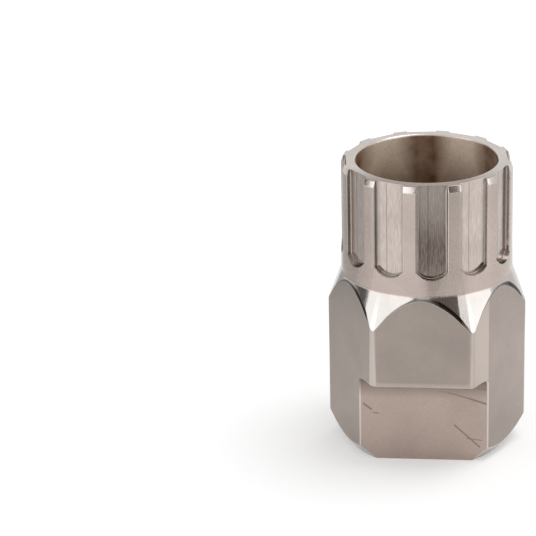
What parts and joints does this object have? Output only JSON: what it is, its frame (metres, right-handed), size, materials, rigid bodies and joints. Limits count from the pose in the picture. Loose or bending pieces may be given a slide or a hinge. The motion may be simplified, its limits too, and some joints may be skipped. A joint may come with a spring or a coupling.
{
  "type": "cassette lockring tool",
  "caption": "Nickel-plated steel socket that turns a bicycle cassette lockring: splined tube over a hexagonal body, one face milled to a low band, square drive below, axle bore through the top.",
  "frame": {"origin": "centre of the drive end's flat face, on the tool's axis", "axes": "+Z along the tool's axis from the drive end to the splined rim; the hexagon face with the milled band looks along -Y"},
  "size_m": [0.0271, 0.0236, 0.0409],
  "materials": {
    "nickel_plated_steel": "satin nickel plate over milled and turned steel, bright on the turned cone and the rib tips, dull and brownish inside the bore"
  },
  "bodies": {
    "root": {"lockring_tool": "nickel_plated_steel"}
  },
  "joints": []
}
